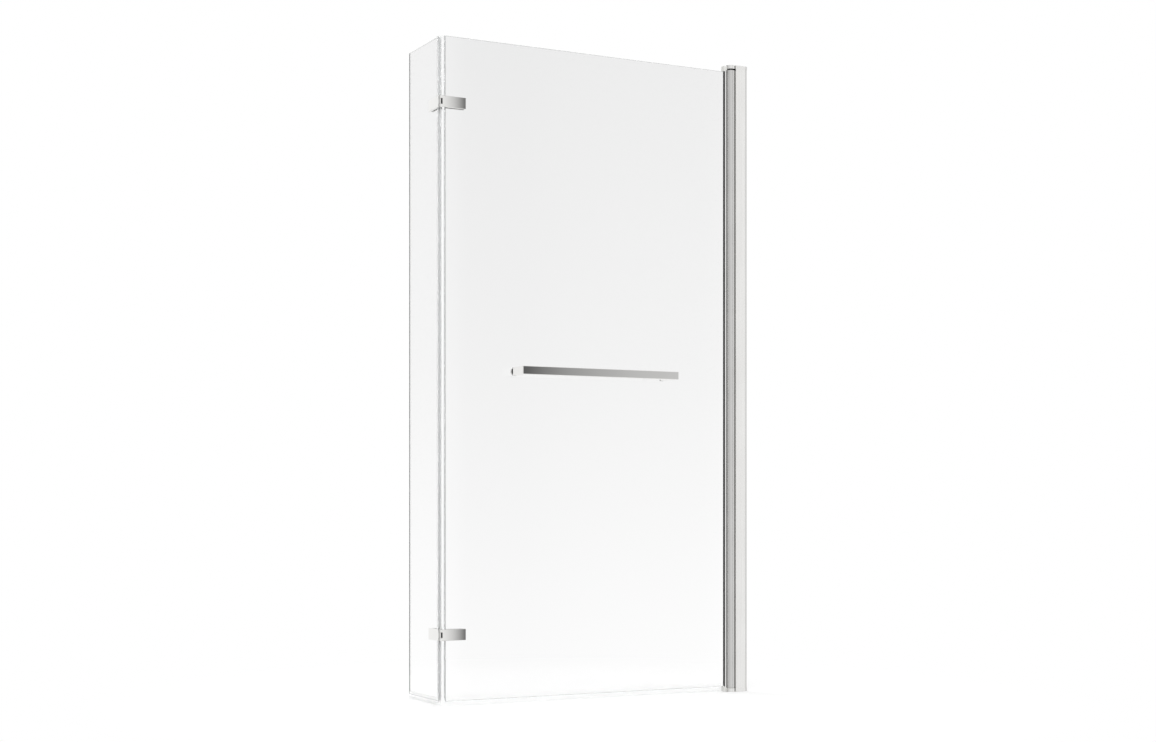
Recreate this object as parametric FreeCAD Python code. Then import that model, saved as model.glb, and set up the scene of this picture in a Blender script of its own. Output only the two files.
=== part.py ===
import FreeCAD, Part
import math
import os

# Bath screen: a pivoting glass panel with a towel rail and a hinged return panel.
#
# Row frame, in millimetres. X = 0 is the face of the end wall and the screen runs from it
# towards -X. Y = 0 is the middle of the main glass: -Y is the room, +Y is the bath.
# Z = 0 is the rim of the bath, and the foot of the wall post stands on it.
#
# Some sub-parts are drawn in a frame of their own and then placed:
# - the post frame is the row frame moved in Y, so that its Y = 0 is the middle of the post;
# - the pivot frame has its origin on the pivot axis, and the glass leaves it towards -X;
# - the slot frame is the pivot frame moved in Y to the middle of the glass;
# - the corner frame has its origin where the outer faces of the two glasses would meet.
#   The main glass runs along its +X. The return glass runs along its +Y, and whatever the
#   return shares with the main panel is the main panel's shape mirrored in the plane X = Y.

# overall
corner_to_wall = 754.0
screen_height = 1426.5
cap_height = 8.0

# glass
glass = 6.0
half_glass = glass / 2
glass_height = 1400.0
glass_foot = 12.5
glass_top = glass_foot + glass_height
main_edge_gap = 10.0
return_edge_gap = 14.0
return_reach = 176.5
sleeve_radius = 5.0

# pivot profile and its bearings
pivot_to_wall = 37.4
pivot_to_room = 3.0
profile_radius = 10.3
profile_wall = 2.2
neck_reach = 16.2
neck_half_width = 5.3
slot_half_width = 4.0
slot_floor = 7.2
glass_in_profile = 7.5
profile_foot = 9.8
profile_top = 1415.2
plug_length = 22.0
pin_radius = 3.0
pin_length = 25.0
bush_radius = 4.4
running_gap = 0.05
washer_radius = 9.0
washer_thickness = 1.5
outer_bead_reach = 18.2
inner_bead_reach = 17.1
bead_proud = 2.0
bead_tip = 0.7
end_cap_reach = 20.0
end_cap_start = 11.3
end_cap_half_width = 5.6
end_cap_height = 9.0
end_cap_edge = 1.0
profile_edge = 0.6
plug_gap = 0.1
pin_in_cap = 6.5

# wall post, which slides over the wall channel for width adjustment
post_face = 30.2
post_half_depth = 11.5
post_wall = 2.2
post_wall_gap = 0.5
post_trough_radius = 11.1
post_cavity_depth = 23.5
channel_depth = 22.0
channel_half_width = 9.0
channel_wall = 2.0
cap_lip = 0.3
cap_eye_radius = 10.8
cap_groove = 0.8
cap_groove_end = 6.5
spigot_length = 12.0
post_edge = 0.6
wall_bevel_width = 5.4
wall_bevel_depth = 0.9
spigot_gap = 0.5
cap_screw_place = (-27.0, 8.6)
cap_screw_radius = 1.6
cap_screw_length = 23.0
cap_head_radius = 2.8
cap_head_height = 1.8
cap_head_sunk = 0.4
cap_slot_half = 1.8
cap_slot_half_width = 0.3
cap_slot_depth = 1.2
wall_hole_radius = 2.25
wall_hole_spacings = (1230.0, 410.0)
lock_screw_x = -12.0
lock_screw_spacing = 565.0
lock_screw_grip = 6.5
lock_head_radius = 3.2
lock_head_height = 1.1
cover_radius = 4.6
cover_height = 2.0
cover_wall = 0.7
cover_edge = 0.6

# towel rail, whose ends are legs that stand on the glass
rail_start = 166.0
rail_length = 383.0
rail_reach = 52.0
rail_section = 18.0
rail_above_glass_foot = 699.0
rail_edge = 1.2
rail_gasket = 3.0
rail_gasket_setback = 0.4
rail_disc_radius = 9.0
rail_washer = 1.5
rail_washer_setback = 0.2
rail_screw_radius = 2.5
rail_screw_grip = 17.0
rail_head_radius = 4.2
rail_head_height = 2.8
rail_socket_radius = 1.6
rail_socket_depth = 1.8
rail_cover_height = 4.2
rail_cover_top = 0.8
rail_cover_bore = 5.2
rail_cover_edge = 1.0

# corner hinges
hinge_height = 24.0
hinge_from_glass_end = 140.0
leaf_reach = 55.3
leaf_proud = 5.0
pad = 1.0
clamp_thickness = 4.0
clamp_setback = 4.0
barrel_radius = 5.0
barrel_gap = 0.3
fork_height = 6.0
hinge_pin_radius = 2.5
hinge_bush_radius = 3.4
window_degrees = (-24.0, 19.0)
hinge_edge = 0.6
pad_setback = 0.4
hinge_screw_places = (24.0, 44.0)
hinge_screw_radius = 2.0
hinge_head_radius = 4.0
hinge_head_height = 2.2
hinge_head_sunk = 0.3
hinge_socket_radius = 1.3
hinge_socket_depth = 1.7

# seals
seal_wall = 1.0
seal_leg = 7.5
seal_web = 2.0
seal_fin_drop = 11.0
seal_fin_spread = 2.5
seal_fin_wall = 0.9
seal_root = 0.4
corner_leg = 6.5
corner_web = 1.4
corner_fin_root = 2.0
corner_fin_inset = 1.0
fin_gap = 0.5

# clearances shared by small pieces
hair = 0.1
clear = 0.3
through = 30.0

# places that follow from the sizes above
pivot_x = -pivot_to_wall
pivot_y = -pivot_to_room
corner_x = -corner_to_wall
corner_y = -half_glass
middle_z = screen_height / 2
hinge_heights = (glass_top - hinge_from_glass_end, glass_foot + hinge_from_glass_end)
rail_z = glass_foot + rail_above_glass_foot
rail_screw_places = (rail_start + rail_section / 2, rail_start + rail_length - rail_section / 2)
rail_screw_seat = glass + pad + rail_washer
main_glass_end = corner_to_wall - pivot_to_wall - glass_in_profile
main_seal_end = corner_to_wall - pivot_to_wall - end_cap_reach - fin_gap

UP = FreeCAD.Vector(0, 0, 1)
ALONG = FreeCAD.Vector(1, 0, 0)
TO_BATH = FreeCAD.Vector(0, 1, 0)


def block(x, y, z):
    """A box between the two ends of each of the three ranges."""
    corner = FreeCAD.Vector(x[0], y[0], z[0])
    return Part.makeBox(x[1] - x[0], y[1] - y[0], z[1] - z[0], corner)


def post(x, y, z, radius):
    """An upright round bar between the two heights z."""
    return Part.makeCylinder(radius, z[1] - z[0], FreeCAD.Vector(x, y, z[0]), UP)


def rod(x, y, z, radius):
    """A round bar along Y between the two ends y."""
    return Part.makeCylinder(radius, y[1] - y[0], FreeCAD.Vector(x, y[0], z), TO_BATH)


def cone(x, y, z, radii):
    """A cone along Y whose radius goes from radii[0] at y[0] to radii[1] at y[1]."""
    return Part.makeCone(radii[0], radii[1], y[1] - y[0], FreeCAD.Vector(x, y[0], z), TO_BATH)


def upright_prism(outline, z):
    """The solid over a closed outline of (x, y) points, between the heights z."""
    points = [FreeCAD.Vector(x, y, z[0]) for x, y in outline]
    face = Part.Face(Part.makePolygon(points + points[:1]))
    return face.extrude(UP * (z[1] - z[0]))


def long_prism(outline, x):
    """The solid over a closed outline of (y, z) points, between the two ends x."""
    points = [FreeCAD.Vector(x[0], y, z) for y, z in outline]
    face = Part.Face(Part.makePolygon(points + points[:1]))
    return face.extrude(ALONG * (x[1] - x[0]))


def fused(pieces):
    """One solid from pieces that overlap or touch."""
    shape = pieces[0]
    for piece in pieces[1:]:
        shape = shape.fuse(piece)
    return shape.removeSplitter().Solids[0]


def rounded(shape, radius, chosen):
    """Rounds the edges for which chosen(centre of the edge) is true."""
    edges = [edge for edge in shape.Edges if chosen(edge.CenterOfMass)]
    return shape.makeFillet(radius, edges)


def moved(shape, x, y, z):
    """A copy of a shape, shifted."""
    copy = shape.copy()
    copy.translate(FreeCAD.Vector(x, y, z))
    return copy


def flipped(shape):
    """A copy turned upside down about the middle height of the screen."""
    copy = shape.copy()
    return copy.mirror(FreeCAD.Vector(0, 0, middle_z), UP)


def at_post(shape):
    """From the post frame to the row frame."""
    return moved(shape, 0, pivot_y, 0)


def at_pivot(shape):
    """From the pivot frame to the row frame."""
    return moved(shape, pivot_x, pivot_y, 0)


def at_slot(shape):
    """From the slot frame to the row frame."""
    return moved(shape, pivot_x, 0, 0)


def at_corner(shape):
    """From the corner frame to the row frame."""
    return moved(shape, corner_x, corner_y, 0)


def for_return(shape):
    """The main panel's shape made into the return's, both in the corner frame."""
    copy = shape.copy()
    return copy.mirror(FreeCAD.Vector(0, 0, 0), FreeCAD.Vector(1, -1, 0))


def at_hinges(shape):
    """The same piece at both hinges, from a hinge drawn about Z = 0 in the corner frame."""
    return [at_corner(moved(shape, 0, 0, z)) for z in hinge_heights]


# ---------------------------------------------------------------- wall side, in the post frame

def wall_channel():
    """U channel, screwed to the wall through four holes in its web."""
    span = (cap_height, screen_height - cap_height)
    outer = block((-channel_depth, 0), (-channel_half_width, channel_half_width), span)
    inner_half = channel_half_width - channel_wall
    over = (span[0] - 1, span[1] + 1)
    hollow = block((-channel_depth - 1, -channel_wall), (-inner_half, inner_half), over)
    shape = outer.cut(hollow)
    for spacing in wall_hole_spacings:
        for z in (middle_z - spacing / 2, middle_z + spacing / 2):
            start = FreeCAD.Vector(-channel_wall - 1, 0, z)
            shape = shape.cut(Part.makeCylinder(wall_hole_radius, channel_wall + 2, start, ALONG))
    for z in lock_screw_heights():
        hole = rod(lock_screw_x, (0, channel_half_width + 1), z, cap_screw_radius)
        shape = shape.cut(hole)
    return shape


def wall_post():
    """Outer post: a cavity for the channel, and a trough that the pivot profile turns in."""
    span = (cap_height, screen_height - cap_height)
    over = (span[0] - 1, span[1] + 1)
    half = post_half_depth - post_wall
    outline = post_outline(post_face, post_wall_gap, post_half_depth)
    outer = upright_prism(outline, span)
    outer = rounded(outer, post_edge, lambda c: abs(c.z - middle_z) < 1 and c.x < -channel_depth)
    shape = outer.cut(block((-post_wall_gap - post_cavity_depth, 1), (-half, half), over))
    shape = shape.cut(post(pivot_x, 0, over, post_trough_radius))
    x, y = cap_screw_place
    for side in (-y, y):
        shape = shape.cut(post(x, side, over, cap_screw_radius))
    for z in lock_screw_heights():
        hole = rod(lock_screw_x, (0, post_half_depth + 1), z, cap_screw_radius)
        shape = shape.cut(hole)
    return shape


def post_outline(face, wall_gap, half_depth):
    """The outside of the post seen from above, with a slight bevel towards the wall."""
    bevel = -wall_gap - wall_bevel_width
    narrow = half_depth - wall_bevel_depth
    return [(-face, -half_depth), (bevel, -half_depth), (-wall_gap, -narrow),
            (-wall_gap, narrow), (bevel, half_depth), (-face, half_depth)]


def lock_screw_heights():
    """The heights of the screws that hold the post on the channel."""
    return [middle_z + step * lock_screw_spacing for step in (-1, 0, 1)]


def bottom_cap():
    """Closes the post's foot, and reaches round the pivot axis to hold the lower pin."""
    span = (0, cap_height)
    edge = post_half_depth + cap_lip
    plate = upright_prism(post_outline(post_face + cap_lip, 0, edge), span)
    plate = rounded(plate, post_edge,
                    lambda c: abs(c.z - cap_height / 2) < 1 and c.x < -channel_depth)
    eye = post(pivot_x, 0, span, cap_eye_radius)
    for side in ((-2 * edge, -cap_groove_end), (cap_groove_end, 2 * edge)):
        ring = post(pivot_x, 0, span, cap_eye_radius + cap_groove).cut(eye)
        plate = plate.cut(ring.common(block((-2 * post_face, 0), side, span)))
    inner = channel_half_width - channel_wall - spigot_gap
    spigot = block((-channel_depth + 1, -channel_wall - 1), (-inner, inner),
                   (cap_height, cap_height + spigot_length))
    shape = fused([plate, eye, spigot])
    shape = shape.cut(post(pivot_x, 0, (pin_start(), cap_height + 1), pin_radius))
    x, y = cap_screw_place
    for screw in cap_screw_pair():
        shape = shape.cut(screw)
    for side in (-y, y):
        shape = shape.cut(post(x, side, (-1, cap_head_sunk), cap_head_radius))
    return shape


def cap_screw_pair():
    """The two countersunk screws that hold the bottom cap to the post."""
    x, y = cap_screw_place
    screws = []
    for side in (-y, y):
        foot = FreeCAD.Vector(x, side, cap_head_sunk)
        shank = Part.makeCylinder(cap_screw_radius, cap_screw_length, foot, UP)
        head = Part.makeCone(cap_head_radius, cap_screw_radius, cap_head_height, foot, UP)
        screws.append(fused([shank, head]))
    return screws


def cap_screws():
    """All four cap screws, with a cross slot in each head."""
    pair = []
    wide = (-cap_slot_half, cap_slot_half)
    narrow = (-cap_slot_half_width, cap_slot_half_width)
    deep = (0, cap_slot_depth)
    cross = fused([block(wide, narrow, deep), block(narrow, wide, deep)])
    for screw in cap_screw_pair():
        centre = screw.CenterOfMass
        pair.append(screw.cut(moved(cross, centre.x, centre.y, 0)))
    return pair + [flipped(screw) for screw in pair]


def pin_start():
    """The height of the lower pin's lower end."""
    return cap_height - pin_in_cap


def bottom_pin():
    """Steel pivot pin, held in the cap, on which the profile turns."""
    return post(pivot_x, 0, (pin_start(), pin_start() + pin_length), pin_radius)


def thrust_washer():
    """Washer under the profile that carries the screen's weight."""
    span = (cap_height, cap_height + washer_thickness)
    ring = post(pivot_x, 0, span, washer_radius)
    return ring.cut(post(pivot_x, 0, (0, through), pin_radius + hair))


def lock_screws():
    """Pan-head screws through the bath side of the post into the channel."""
    screws = []
    for z in lock_screw_heights():
        shank_span = (post_half_depth - lock_screw_grip, post_half_depth)
        head_span = (post_half_depth, post_half_depth + lock_head_height)
        shank = rod(lock_screw_x, shank_span, z, cap_screw_radius)
        head = rod(lock_screw_x, head_span, z, lock_head_radius)
        screws.append(fused([shank, head]))
    return screws


def lock_screw_covers():
    """Push-on covers over the lock screws."""
    covers = []
    face = post_half_depth
    top = face + cover_height
    for z in lock_screw_heights():
        cup = rod(lock_screw_x, (face, top), z, cover_radius)
        cup = rounded(cup, cover_edge, lambda c: c.y > top - hair)
        hollow = rod(lock_screw_x, (face - 1, top - cover_wall), z, lock_head_radius + 2 * hair)
        covers.append(cup.cut(hollow))
    return covers


# ---------------------------------------------------------------- pivot profile

def profile_hollow(z, clearance):
    """The round hollow of the pivot profile, flat on the side of the glass slot."""
    radius = profile_radius - profile_wall - clearance
    flat = -slot_floor + profile_wall + clearance
    return post(0, 0, z, radius).common(block((flat, radius), (-radius, radius), z))


def pivot_profile():
    """Extrusion with a round side that turns in the post and a slot that holds the glass.

    The round side stands further towards the room than the slot, so the neck leaves it from
    the bath half.
    """
    span = (profile_foot, profile_top)
    over = (profile_foot - 1, profile_top + 1)
    neck = block((-neck_reach, 0), (-neck_half_width, neck_half_width), span)
    neck = rounded(neck, profile_edge,
                   lambda c: c.x < -neck_reach + hair and abs(c.z - middle_z) < 2)
    slot = block((-neck_reach - 1, -slot_floor), (-slot_half_width, slot_half_width), over)
    shape = fused([post(0, 0, span, profile_radius), moved(neck, 0, pivot_to_room, 0)])
    shape = shape.cut(moved(slot, 0, pivot_to_room, 0))
    return at_pivot(shape.cut(profile_hollow(over, 0)))


def bottom_plug():
    """Plug in the foot of the profile, bored for the bush."""
    plug = profile_hollow((profile_foot, profile_foot + plug_length), plug_gap)
    return at_pivot(plug.cut(post(0, 0, (0, 2 * through), bush_radius)))


def bottom_bush():
    """Plain bush in the plug, in which the pin runs."""
    span = (profile_foot, profile_foot + plug_length)
    bush = post(0, 0, span, bush_radius)
    return at_pivot(bush.cut(post(0, 0, (0, 2 * through), pin_radius + running_gap)))


def gasket(reach):
    """Glazing gasket on the room side, whose bead ends this far from the pivot axis."""
    face = -half_glass
    lip = -slot_half_width
    bead = face - bead_proud
    root = -neck_reach - 2 * hair
    start = root - 2 * hair
    outline = [(-glass_in_profile, face), (-glass_in_profile, lip), (root, lip),
               (start, bead), ((start - reach) / 2, bead),
               (-reach, face - bead_tip), (-reach, face)]
    return at_slot(upright_prism(outline, (glass_foot, glass_top)))


def outer_gasket():
    """Glazing gasket on the room side, with a bead that shows beside the profile."""
    return gasket(outer_bead_reach)


def inner_gasket():
    """Glazing gasket on the bath side, with a smaller bead."""
    return gasket(inner_bead_reach).mirror(FreeCAD.Vector(0, 0, 0), TO_BATH)


def bottom_glazing_cap():
    """Small moulding that closes the lower end of the slot and of both gaskets."""
    side = (-end_cap_half_width, end_cap_half_width)
    low = profile_foot - end_cap_height
    under_neck = block((-end_cap_reach, -end_cap_start), side, (low, profile_foot))
    under_glass = block((-end_cap_reach, -neck_reach - hair), side, (low, glass_foot - hair))
    shape = fused([under_neck, under_glass])
    shape = rounded(shape, end_cap_edge,
                    lambda c: c.x < -end_cap_reach + hair and abs(c.y) > neck_half_width)
    return at_slot(shape)


# ---------------------------------------------------------------- main panel

def main_glass():
    """Glass sheet with holes for the hinge and rail fixings, in the corner frame."""
    sheet = block((main_edge_gap, main_glass_end), (0, glass), (glass_foot, glass_top))
    for x in hinge_screw_places:
        for z in hinge_heights:
            sheet = sheet.cut(rod(x, (-1, glass + 1), z, sleeve_radius))
    for x in rail_screw_places:
        sheet = sheet.cut(rod(x, (-1, glass + 1), rail_z, sleeve_radius))
    return at_corner(sheet)


def sleeve(x, z, bore):
    """Clear ring that keeps a screw off the glass, in the corner frame."""
    ring = rod(x, (0, glass), z, sleeve_radius)
    return ring.cut(rod(x, (-1, glass + 1), z, bore))


def hinge_sleeves():
    """The sleeves of one panel's hinge screws, in the corner frame."""
    bore = hinge_screw_radius + hair
    return [sleeve(x, z, bore) for z in hinge_heights for x in hinge_screw_places]


def main_sleeves():
    """Every sleeve in the main glass."""
    bore = rail_screw_radius + hair
    rail_sleeves = [sleeve(x, rail_z, bore) for x in rail_screw_places]
    return [at_corner(ring) for ring in hinge_sleeves() + rail_sleeves]


def bottom_seal(start, end):
    """Clear seal clipped under the glass, with two fins, in the corner frame."""
    top = glass_foot + seal_leg
    web = glass_foot - seal_web
    low = glass_foot - seal_fin_drop
    front = -seal_wall
    back = glass + seal_wall
    fin = seal_fin_wall
    spread = seal_fin_spread
    outline = [(front, top), (0, top), (0, glass_foot), (glass, glass_foot), (glass, top),
               (back, top), (back, web), (back + spread, low), (back + spread - fin, low),
               (back - fin - seal_root, web), (front + fin + seal_root, web),
               (front - spread + fin, low), (front - spread, low), (front, web)]
    return long_prism(outline, (start, end))


def main_bottom_seal():
    """The seal under the main glass."""
    return at_corner(bottom_seal(main_edge_gap + 1, main_seal_end))


def towel_rail():
    """Square rail whose two legs are welded to its ends, in the corner frame."""
    half = rail_section / 2
    height = (rail_z - half, rail_z + half)
    end = rail_start + rail_length
    bar = block((rail_start, end), (-rail_reach, -rail_reach + rail_section), height)
    left = block((rail_start, rail_start + rail_section), (-rail_reach, -rail_gasket), height)
    right = block((end - rail_section, end), (-rail_reach, -rail_gasket), height)
    shape = fused([bar, left, right])
    shape = rounded(shape, rail_edge, lambda c: c.y < -rail_gasket - hair)
    for x in rail_screw_places:
        shape = shape.cut(rod(x, (-rail_screw_grip - 1, 0), rail_z, rail_screw_radius))
    return at_corner(shape)


def rail_gaskets():
    """Black gaskets between the rail's legs and the glass."""
    half = rail_section / 2 - rail_gasket_setback
    height = (rail_z - half, rail_z + half)
    gaskets = []
    for x in rail_screw_places:
        square = block((x - half, x + half), (-rail_gasket, 0), height)
        gaskets.append(at_corner(square.cut(rail_screw_hole(x))))
    return gaskets


def rail_screw_hole(x):
    """The clearance hole of one rail screw, in the corner frame."""
    return rod(x, (-through, through), rail_z, rail_screw_radius + hair)


def rail_discs():
    """Clear discs under the washers on the bath side."""
    discs = []
    for x in rail_screw_places:
        disc = rod(x, (glass, glass + pad), rail_z, rail_disc_radius)
        discs.append(at_corner(disc.cut(rail_screw_hole(x))))
    return discs


def rail_washers():
    """Metal washers under the rail screws' heads."""
    radius = rail_disc_radius - rail_washer_setback
    washers = []
    for x in rail_screw_places:
        washer = rod(x, (glass + pad, rail_screw_seat), rail_z, radius)
        washers.append(at_corner(washer.cut(rail_screw_hole(x))))
    return washers


def rail_screws():
    """Screws through the glass into the rail's legs."""
    head_top = rail_screw_seat + rail_head_height
    screws = []
    for x in rail_screw_places:
        shank = rod(x, (-rail_screw_grip, rail_screw_seat), rail_z, rail_screw_radius)
        head = rod(x, (rail_screw_seat, head_top), rail_z, rail_head_radius)
        socket = rod(x, (head_top - rail_socket_depth, head_top + 1), rail_z, rail_socket_radius)
        screws.append(at_corner(fused([shank, head]).cut(socket)))
    return screws


def rail_covers():
    """Bright covers over the rail screws' heads."""
    top = rail_screw_seat + rail_cover_height
    covers = []
    for x in rail_screw_places:
        cup = rod(x, (rail_screw_seat, top), rail_z, rail_disc_radius)
        cup = rounded(cup, rail_cover_edge, lambda c: c.y > top - hair)
        hollow = rod(x, (rail_screw_seat - 1, top - rail_cover_top), rail_z, rail_cover_bore)
        covers.append(at_corner(cup.cut(hollow)))
    return covers


# ---------------------------------------------------------------- corner hinges

def knuckle_spans(is_fork):
    """The heights of a leaf's knuckles about the hinge's middle."""
    half = hinge_height / 2
    split = half - fork_height
    if is_fork:
        return [(split, half), (-half, -split)]
    return [(-split + barrel_gap, split - barrel_gap)]


def clear_spans(is_fork):
    """The heights at which a leaf stands clear of the other leaf's knuckles."""
    half = hinge_height / 2
    split = half - fork_height
    if is_fork:
        return [(-split, split)]
    return [(split - barrel_gap, half + 1), (-half - 1, -split + barrel_gap)]


def leaf(is_fork):
    """Outer leaf about Z = 0: the plate on the glass and its knuckles round the pin."""
    half = hinge_height / 2
    plate = block((0, leaf_reach), (-leaf_proud, -pad), (-half, half))
    plate = rounded(plate, hinge_edge, lambda c: c.y < -leaf_proud + hair and c.x > 1)
    bore = hinge_pin_radius if is_fork else hinge_bush_radius
    knuckles = [post(0, 0, span, barrel_radius) for span in knuckle_spans(is_fork)]
    for span in clear_spans(is_fork):
        plate = plate.cut(post(0, 0, span, barrel_radius + barrel_gap))
    shape = fused([plate] + knuckles)
    shape = shape.cut(post(0, 0, (-half - 1, half + 1), bore))
    for x in hinge_screw_places:
        shape = shape.cut(rod(x, (-leaf_proud + 1, 1), 0, hinge_screw_radius))
    return shape


def window(degrees):
    """The upright slot in a knuckle, between two angles from the room side."""
    reach = 2 * barrel_radius
    angles = [math.radians(degree) for degree in degrees]
    corners = [(reach * math.sin(angle), -reach * math.cos(angle)) for angle in angles]
    half = hinge_height / 2
    return upright_prism([(0, 0)] + corners, (-half, half))


def return_leaf():
    """The return's leaf, whose middle knuckle has a slot that shows its dark bush."""
    return for_return(leaf(False)).cut(window(window_degrees))


def clamp(edge_gap):
    """Inner plate that draws the leaf against the glass."""
    half = hinge_height / 2
    start = edge_gap + clamp_setback
    face = glass + pad
    plate = block((start, leaf_reach), (face, face + clamp_thickness), (-half, half))
    top = face + clamp_thickness
    plate = rounded(plate, hinge_edge, lambda c: c.y > top - hair)
    for x in hinge_screw_places:
        recess = rod(x, (top - hinge_head_sunk, top + 1), 0, hinge_head_radius)
        plate = plate.cut(hinge_screw_body(x)).cut(recess)
    return plate


def pads(edge_gap):
    """Clear pads between a hinge's two plates and the glass."""
    half = hinge_height / 2 - pad_setback
    reach = leaf_reach - pad_setback
    outer = block((edge_gap, reach), (-pad, 0), (-half, half))
    inner = block((edge_gap + clamp_setback, reach), (glass, glass + pad), (-half, half))
    for x in hinge_screw_places:
        hole = rod(x, (-pad - 1, glass + pad + 1), 0, hinge_screw_radius + hair)
        outer = outer.cut(hole)
        inner = inner.cut(hole)
    return [outer, inner]


def hinge_screw_body(x):
    """The outside of one hinge screw, with its countersunk head on the bath side."""
    top = glass + pad + clamp_thickness - hinge_head_sunk
    shank = rod(x, (-leaf_proud + 1, top), 0, hinge_screw_radius)
    head = cone(x, (top - hinge_head_height, top), 0, (hinge_screw_radius, hinge_head_radius))
    return fused([shank, head])


def hinge_screws():
    """The two screws of one leaf, each with a socket."""
    top = glass + pad + clamp_thickness - hinge_head_sunk
    screws = []
    for x in hinge_screw_places:
        socket = rod(x, (top - hinge_socket_depth, top + 1), 0, hinge_socket_radius)
        screws.append(hinge_screw_body(x).cut(socket))
    return screws


def hinge_pin():
    """Steel pin, fixed in the main leaf's fork."""
    half = hinge_height / 2
    return post(0, 0, (-half + 2 * hair, half - 2 * hair), hinge_pin_radius)


def hinge_bush():
    """Dark bush in the return leaf's knuckle, in which the pin runs."""
    span = knuckle_spans(False)[0]
    ring = post(0, 0, span, hinge_bush_radius)
    return ring.cut(post(0, 0, span, hinge_pin_radius + running_gap))


# ---------------------------------------------------------------- return panel

def return_glass():
    """Return glass: the same kind of sheet, with holes for its hinge fixings."""
    sheet = block((return_edge_gap, return_reach), (0, glass), (glass_foot, glass_top))
    for x in hinge_screw_places:
        for z in hinge_heights:
            sheet = sheet.cut(rod(x, (-1, glass + 1), z, sleeve_radius))
    return at_corner(for_return(sheet))


def return_bottom_seal():
    """The seal under the return glass."""
    return at_corner(for_return(bottom_seal(return_edge_gap + 1, return_reach)))


def corner_seal(z):
    """Clear seal clipped on the return's front edge, with a fin towards the main glass."""
    web = return_edge_gap - corner_web
    leg = return_edge_gap + corner_leg
    left = -seal_wall
    right = glass + seal_wall
    tip = main_edge_gap - fin_gap
    wall = seal_fin_wall
    root = corner_fin_root
    inset = corner_fin_inset
    outline = [(left, web), (root, web), (tip - wall, glass - inset), (tip - wall, inset),
               (tip, inset), (tip, glass), (root + 2 * wall, web), (right, web), (right, leg),
               (glass, leg), (glass, return_edge_gap), (0, return_edge_gap), (0, leg),
               (left, leg)]
    return at_corner(upright_prism(outline, z))


def corner_seal_spans():
    """The three lengths of the corner seal: above, between and below the hinges.

    The lowest one stops over the legs of the return's bottom seal.
    """
    past_hinge = hinge_height / 2 + 1
    upper, lower = hinge_heights
    over_seal = glass_foot + seal_leg + clear
    return [(upper + past_hinge, glass_top), (lower + past_hinge, upper - past_hinge),
            (over_seal, lower - past_hinge)]


# ---------------------------------------------------------------- the whole screen

def wall_frame():
    """Every piece that stays on the wall."""
    nodes = {
        "wall_channel": [wall_channel()],
        "wall_post": [wall_post()],
        "post_cap_top": [flipped(bottom_cap())],
        "post_cap_bottom": [bottom_cap()],
        "cap_screws": cap_screws(),
        "post_lock_screws": lock_screws(),
        "lock_screw_covers": lock_screw_covers(),
        "pivot_pin_top": [flipped(bottom_pin())],
        "pivot_pin_bottom": [bottom_pin()],
        "thrust_washer": [thrust_washer()],
    }
    return {name: [at_post(shape) for shape in shapes] for name, shapes in nodes.items()}


def top_of_profile(shape):
    """A foot piece of the pivot profile, turned over for its top."""
    middle = (profile_foot + profile_top) / 2
    copy = shape.copy()
    return copy.mirror(FreeCAD.Vector(0, 0, middle), UP)


def main_screen():
    """Every piece that turns with the main panel."""
    nodes = {
        "pivot_profile": [pivot_profile()],
        "pivot_plug_top": [top_of_profile(bottom_plug())],
        "pivot_plug_bottom": [bottom_plug()],
        "pivot_bush_top": [top_of_profile(bottom_bush())],
        "pivot_bush_bottom": [bottom_bush()],
        "glazing_cap_top": [top_of_profile(bottom_glazing_cap())],
        "glazing_cap_bottom": [bottom_glazing_cap()],
        "glazing_gasket_outer": [outer_gasket()],
        "glazing_gasket_inner": [inner_gasket()],
        "main_glass": [main_glass()],
        "main_glass_sleeves": main_sleeves(),
        "main_bottom_seal": [main_bottom_seal()],
        "towel_rail": [towel_rail()],
        "rail_gaskets": rail_gaskets(),
        "rail_discs": rail_discs(),
        "rail_washers": rail_washers(),
        "rail_screws": rail_screws(),
        "rail_screw_covers": rail_covers(),
    }
    screws = []
    leaves = at_hinges(leaf(True))
    clamps = at_hinges(clamp(main_edge_gap))
    pins = at_hinges(hinge_pin())
    outer_pads, inner_pads = [at_hinges(shape) for shape in pads(main_edge_gap)]
    for screw in hinge_screws():
        screws = screws + at_hinges(screw)
    for place, name in enumerate(("upper", "lower")):
        nodes[name + "_main_leaf"] = [leaves[place]]
        nodes[name + "_main_clamp"] = [clamps[place]]
        nodes[name + "_main_pads"] = [outer_pads[place], inner_pads[place]]
        nodes[name + "_hinge_pin"] = [pins[place]]
    nodes["main_hinge_screws"] = screws
    return nodes


def return_screen():
    """Every piece that turns with the return panel."""
    seals = [corner_seal(span) for span in corner_seal_spans()]
    nodes = {
        "return_glass": [return_glass()],
        "return_glass_sleeves": [at_corner(for_return(ring)) for ring in hinge_sleeves()],
        "return_bottom_seal": [return_bottom_seal()],
        "corner_seal_top": [seals[0]],
        "corner_seal_middle": [seals[1]],
        "corner_seal_bottom": [seals[2]],
    }
    screws = []
    leaves = at_hinges(return_leaf())
    clamps = at_hinges(for_return(clamp(return_edge_gap)))
    bushes = at_hinges(hinge_bush())
    outer_pads, inner_pads = [at_hinges(for_return(shape)) for shape in pads(return_edge_gap)]
    for screw in hinge_screws():
        screws = screws + at_hinges(for_return(screw))
    for place, name in enumerate(("upper", "lower")):
        nodes[name + "_return_leaf"] = [leaves[place]]
        nodes[name + "_return_clamp"] = [clamps[place]]
        nodes[name + "_return_pads"] = [outer_pads[place], inner_pads[place]]
        nodes[name + "_hinge_bush"] = [bushes[place]]
    nodes["return_hinge_screws"] = screws
    return nodes


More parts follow.
